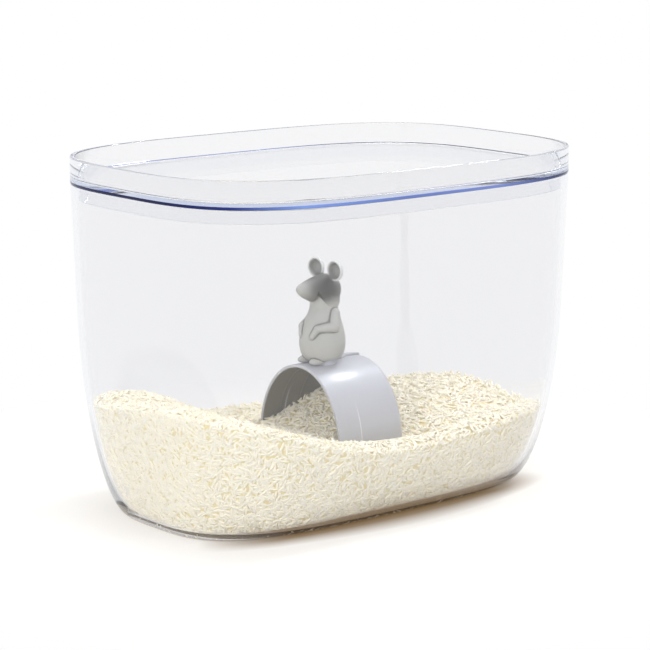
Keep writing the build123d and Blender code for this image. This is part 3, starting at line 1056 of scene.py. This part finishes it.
def lay_grains(name, places, normals, tilt):
    """Lay one grain at each place, flat on the surface with that normal, at any angle and a random tilt."""
    count = len(places)
    spin = dice.uniform(0, 2 * np.pi, count)
    lean = dice.normal(0, tilt, count)
    helper = np.where(np.abs(normals[:, 2:3]) < NEARLY_LEVEL, [[0.0, 0.0, 1.0]], [[1.0, 0.0, 0.0]])
    side = np.cross(helper, normals)
    side /= np.linalg.norm(side, axis=1, keepdims=True)
    other = np.cross(normals, side)
    flat = side * np.cos(spin)[:, None] + other * np.sin(spin)[:, None]
    long_axis = flat * np.cos(lean)[:, None] + normals * np.sin(lean)[:, None]
    broad = np.cross(normals, long_axis)
    broad /= np.linalg.norm(broad, axis=1, keepdims=True)
    thick = np.cross(long_axis, broad)
    size = dice.uniform(*GRAIN_SIZES, count)[:, None, None]
    turned = np.stack([broad, thick, long_axis], axis=2)
    points = np.einsum("nij,kj->nki", turned, grain_points) * size + places[:, None, :]
    pieces = []
    for start in range(0, count, GRAINS_IN_A_PIECE):
        part = points[start:start + GRAINS_IN_A_PIECE]
        faces = [[i + g * len(grain_points) for i in face] for g in range(len(part)) for face in grain_faces]
        mesh = bpy.data.meshes.new(f"{name}_{start // GRAINS_IN_A_PIECE + 1}")
        mesh.from_pydata(part.reshape(-1, 3).tolist(), [], faces)
        mesh.polygons.foreach_set("use_smooth", [True] * len(mesh.polygons))
        piece = bpy.data.objects.new(mesh.name, mesh)
        bpy.context.collection.objects.link(piece)
        dress(piece, rice_white)
        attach(piece, "tub")
        pieces.append(piece)
    print(f"{name}: {count} grains in {len(pieces)} pieces")
    return pieces


# %% [markdown]
# ## Grains on the heap
# The top grains lie on the heap's slope, half buried, and keep clear of the scoop's thin wall.

# %% Grains on the heap
TOP_GRAINS = 10500
TOP_TILT = 0.28
TOP_BURIED = (-1.3, 0.3)
TOP_INSET = 1.6 * MM
CLEAR_OF_WALL = 2.2 * MM
SCOOP_MARGIN = 1.5 * MM
SLOPE_STEP = 2 * MM
STEEPEST = 0.8

along = dice.uniform(-HALF_LENGTH, HALF_LENGTH, 3 * TOP_GRAINS)
across = dice.uniform(-HALF_WIDTH, HALF_WIDTH, 3 * TOP_GRAINS)
height = rice_height(along, across)
half_length, half_width = inner_half_sizes(height, TOP_INSET)
inside_tub = outline_share(along, across, half_length, half_width) < 1
beside_x = np.abs(along - (scoop_high.x - SCOOP_WALL / 2)) < CLEAR_OF_WALL
beside_y = np.abs(np.abs(across) - (scoop_high.y - SCOOP_WALL / 2)) < CLEAR_OF_WALL
by_scoop_x = (along > scoop_low.x) & (along < scoop_high.x + SCOOP_MARGIN)
by_scoop_y = np.abs(across) < scoop_high.y + SCOOP_MARGIN
in_wall = (beside_x & by_scoop_y) | (beside_y & by_scoop_x)
keep = np.flatnonzero(inside_tub & ~in_wall)[:TOP_GRAINS]
along, across, height = along[keep], across[keep], height[keep]
rise_x = rice_height(along + SLOPE_STEP, across) - rice_height(along - SLOPE_STEP, across)
rise_y = rice_height(along, across + SLOPE_STEP) - rice_height(along, across - SLOPE_STEP)
slope_x = np.clip(rise_x / (2 * SLOPE_STEP), -STEEPEST, STEEPEST)
slope_y = np.clip(rise_y / (2 * SLOPE_STEP), -STEEPEST, STEEPEST)
normals = np.stack([-slope_x, -slope_y, np.ones_like(along)], axis=1)
normals /= np.linalg.norm(normals, axis=1, keepdims=True)
bury = dice.uniform(*TOP_BURIED, len(along)) * MM
lay_grains("rice_top", np.stack([along, across, height + bury], axis=1), normals, TOP_TILT)

# %% [markdown]
# ## Rice against the clear wall
# Seen through the wall, the grains lie flat on the plastic. They are placed round the hollow,
# from the floor up to the edge of the heap, with the wall's own slope as the surface that they
# lie on.

# %% Grains on the wall
WALL_GRAINS = 17500
WALL_POINTS = 720
WALL_LEVELS = 40
FLAT_TILT = 0.06
LAYER = 0.9
GRAIN_REST = RICE_GAP + 0.95 * GRAIN_WIDTH / 2

unit_along, unit_across = squared_oval(WALL_POINTS)
edge = rice_edge(unit_along, unit_across, GRAIN_REST)
lowest = TUB_FLOOR + GRAIN_REST
path = []
for share in np.linspace(0, 1, WALL_LEVELS) ** 2:
    heights = lowest + (edge - lowest) * share
    half_length, half_width = inner_half_sizes(heights, GRAIN_REST)
    path.append(np.stack([half_length * unit_along, half_width * unit_across, heights], axis=1))
path = np.array(path)
up = np.diff(path, axis=0)
around = np.roll(path, -1, axis=1)[:-1] - path[:-1]
cell_normal = np.cross(up, around)
area = np.linalg.norm(cell_normal, axis=2)
pick = dice.choice(area.size, WALL_GRAINS, p=(area / area.sum()).ravel())
ring, step_round = np.unravel_index(pick, area.shape)
share_up = dice.uniform(0, 1, WALL_GRAINS)[:, None]
share_round = dice.uniform(0, 1, WALL_GRAINS)[:, None]
places = path[ring, step_round] + up[ring, step_round] * share_up + around[ring, step_round] * share_round
normals = cell_normal[ring, step_round] / area[ring, step_round][:, None]
off_wall = normals * dice.uniform(0, LAYER, WALL_GRAINS)[:, None] * MM
lay_grains("rice_wall", places + off_wall, normals, FLAT_TILT)

# %% [markdown]
# ## Rice on the floor
# The base is clear too, so grains also lie on the floor, where they are seen from below and
# through the curved foot.

# %% Grains on the floor
FLOOR_GRAINS = 4000

half_length, half_width = wall_half_sizes(lowest, TUB_WALL + GRAIN_REST, TUB_FLOOR)
along = dice.uniform(-half_length, half_length, 2 * FLOOR_GRAINS)
across = dice.uniform(-half_width, half_width, 2 * FLOOR_GRAINS)
keep = np.flatnonzero(outline_share(along, across, half_length, half_width) < 1)[:FLOOR_GRAINS]
places = np.stack([along[keep], across[keep], lowest + dice.uniform(0, LAYER, len(keep)) * MM], axis=1)
lay_grains("rice_floor", places, np.tile([0.0, 0.0, 1.0], (len(keep), 1)), FLAT_TILT)

# %% [markdown]
# ## Table
# The photograph has a white table that runs up into a white background. A large floor fades from
# painted white under the tub to plain white light further out. Along the tub's long side lies a
# narrow warm shade, where light that came through the rice meets the table under the curved wall.
# It is painted on the table, by the distance from the tub's outline.

# %% Stage
FLOOR_SIZE = 12
FLOOR_DROP = 0.0002
FADE_FROM, FADE_TO = 0.14, 0.32
SHADE_START = -2 * MM
SHADE_REACH = 28 * MM
SHADE_LEVELS = ((0.0, 0.0), (0.06, 1.0), (0.4, 0.85), (0.7, 0.4), (1.0, 0.0))
NEAR_SIDE_SHADE = 1.1
END_LOSS = 0.7


def foot_shade(tree, place, reach):
    """The warm shade along the tub's foot, 1 at its outline and 0 a little way out, as a socket."""
    parts = add_node(tree, "ShaderNodeSeparateXYZ", {"Vector": place})
    powers = []
    for axis, half in (("X", outside[0][1]), ("Y", outside[0][2])):
        part = add_node(tree, "ShaderNodeMath", {0: parts.outputs[axis]}, operation="ABSOLUTE").outputs["Value"]
        part = add_node(tree, "ShaderNodeMath", {0: part, 1: half}, operation="DIVIDE").outputs["Value"]
        power = add_node(tree, "ShaderNodeMath", {0: part, 1: OUTLINE_POWER}, operation="POWER")
        powers.append(power.outputs["Value"])
    total = add_node(tree, "ShaderNodeMath", {0: powers[0], 1: powers[1]}, operation="ADD").outputs["Value"]
    share = add_node(tree, "ShaderNodeMath", {0: total, 1: -1 / OUTLINE_POWER}, operation="POWER")
    inner = add_node(tree, "ShaderNodeMath", {0: 1.0, 1: share.outputs["Value"]}, operation="SUBTRACT")
    out = add_node(tree, "ShaderNodeMath", {0: inner.outputs["Value"], 1: reach}, operation="MULTIPLY")
    ramp = add_node(
        tree, "ShaderNodeMapRange",
        {"Value": out.outputs["Value"], "From Min": SHADE_START, "From Max": SHADE_REACH},
    )
    curve = add_node(tree, "ShaderNodeValToRGB", {"Fac": ramp.outputs["Result"]})
    while len(curve.color_ramp.elements) < len(SHADE_LEVELS):
        curve.color_ramp.elements.new(0.5)
    for element, (position, level) in zip(curve.color_ramp.elements, SHADE_LEVELS):
        element.position = position
        element.color = (level, level, level, 1)
    across = add_node(
        tree, "ShaderNodeMath", {0: parts.outputs["Y"], 1: -NEAR_SIDE_SHADE / outside[0][2]},
        operation="MULTIPLY",
    )
    away = add_node(
        tree, "ShaderNodeMath", {0: powers[0], 1: -END_LOSS, 2: across.outputs["Value"]},
        operation="MULTIPLY_ADD", use_clamp=True,
    )
    shade = add_node(
        tree, "ShaderNodeMath", {0: curve.outputs["Color"], 1: away.outputs["Value"]}, operation="MULTIPLY"
    )
    return shade.outputs["Value"]


def make_stage():
    bpy.ops.object.select_all(action="DESELECT")
    bpy.ops.mesh.primitive_plane_add(size=FLOOR_SIZE, location=(0, 0, -FLOOR_DROP))
    floor = bpy.context.object
    floor.name = "white_floor"
    material, tree, output = new_material("white_table")
    place = add_node(tree, "ShaderNodeTexCoord").outputs["Object"]
    reach = add_node(tree, "ShaderNodeVectorMath", {0: place}, operation="LENGTH")
    fade = add_node(
        tree, "ShaderNodeMapRange",
        {
            "Value": reach.outputs["Value"], "From Min": FADE_FROM, "From Max": FADE_TO,
            "To Min": 0.45, "To Max": 1.0,
        },
    )
    shade = foot_shade(tree, place, reach.outputs["Value"])
    tones = []
    for plain_hex, shaded_hex in (("#FFFAF3", "#6E5222"), ("#FFFFFF", "#9C7C50")):
        tone = add_node(
            tree, "ShaderNodeMix",
            {"Factor": shade, COLOUR_A: linear(plain_hex), COLOUR_B: linear(shaded_hex)},
            data_type="RGBA",
        )
        tones.append(tone.outputs[COLOUR_OUT])
    paint = add_node(tree, "ShaderNodeBsdfDiffuse", {"Color": tones[0]})
    glow = add_node(tree, "ShaderNodeEmission", {"Color": tones[1], "Strength": 1.0})
    mix = add_node(tree, "ShaderNodeMixShader", {0: fade.outputs["Result"]})
    tree.links.new(paint.outputs["BSDF"], mix.inputs[1])
    tree.links.new(glow.outputs["Emission"], mix.inputs[2])
    tree.links.new(mix.outputs["Shader"], output.inputs["Surface"])
    dress(floor, material)


make_stage()
print(f"table with a shade {SHADE_REACH / MM:.0f} mm wide")

# %% [markdown]
# ## Surround
# The even white of the photograph is that of a tent round the table. The surround is white where
# it is seen, and weaker as a light, so that the lamps can model the forms.

# %% World
TENT_AS_LIGHT = 0.62

world = bpy.data.worlds.new("studio")
bpy.context.scene.world = world
world.use_nodes = True
tree = world.node_tree
tree.nodes.clear()
ray = add_node(tree, "ShaderNodeLightPath")
dim = add_node(
    tree, "ShaderNodeMapRange",
    {"Value": ray.outputs["Is Diffuse Ray"], "To Min": 1.0, "To Max": TENT_AS_LIGHT},
)
surround = add_node(
    tree, "ShaderNodeBackground", {"Color": linear("#FAFAFA"), "Strength": dim.outputs["Result"]}
)
white = add_node(tree, "ShaderNodeBackground", {"Color": linear("#FFFFFF"), "Strength": 1.0})
seen = add_node(
    tree, "ShaderNodeMath", {0: ray.outputs["Is Camera Ray"], 1: ray.outputs["Is Transmission Ray"]},
    operation="MAXIMUM",
)
mix = add_node(tree, "ShaderNodeMixShader", {0: seen.outputs["Value"]})
tree.links.new(surround.outputs["Background"], mix.inputs[1])
tree.links.new(white.outputs["Background"], mix.inputs[2])
add_node(tree, "ShaderNodeOutputWorld", {"Surface": mix.outputs["Shader"]})
print("surround:", world.name)


# %% [markdown]
# ## Lamps
# A small key lamp behind on the right makes the spot on the scoop's shoulder. A wide one above
# lights the rice, and two low ones from the left and the front light what stands upright. The low
# ones aren't mirrored, as if behind the tent.


# %% Lamps
def add_lamp(name, place, size, power, mirrored):
    """A square soft lamp that points at the middle of the tub, and that its walls mirror or not."""
    data = bpy.data.lights.new(name, "AREA")
    data.size = size
    data.energy = power
    lamp = bpy.data.objects.new(name, data)
    lamp.location = place
    lamp.visible_glossy = lamp.visible_transmission = mirrored
    lamp.rotation_euler = (PHOTO_TARGET - Vector(place)).to_track_quat("-Z", "Y").to_euler()
    bpy.context.collection.objects.link(lamp)


LAMPS = (
    ("key_lamp", (1.0, 0.05, 1.3), 0.22, 7, True),
    ("top_lamp", (0.1, 0.3, 1.6), 1.0, 7, True),
    ("left_lamp", (-1.9, -0.9, 0.6), 1.2, 42, False),
    ("front_lamp", (0.9, -1.7, 0.6), 0.8, 12, False),
)
for name, place, size, power, mirrored in LAMPS:
    add_lamp(name, place, size, power, mirrored)
print(f"{len(LAMPS)} lamps")
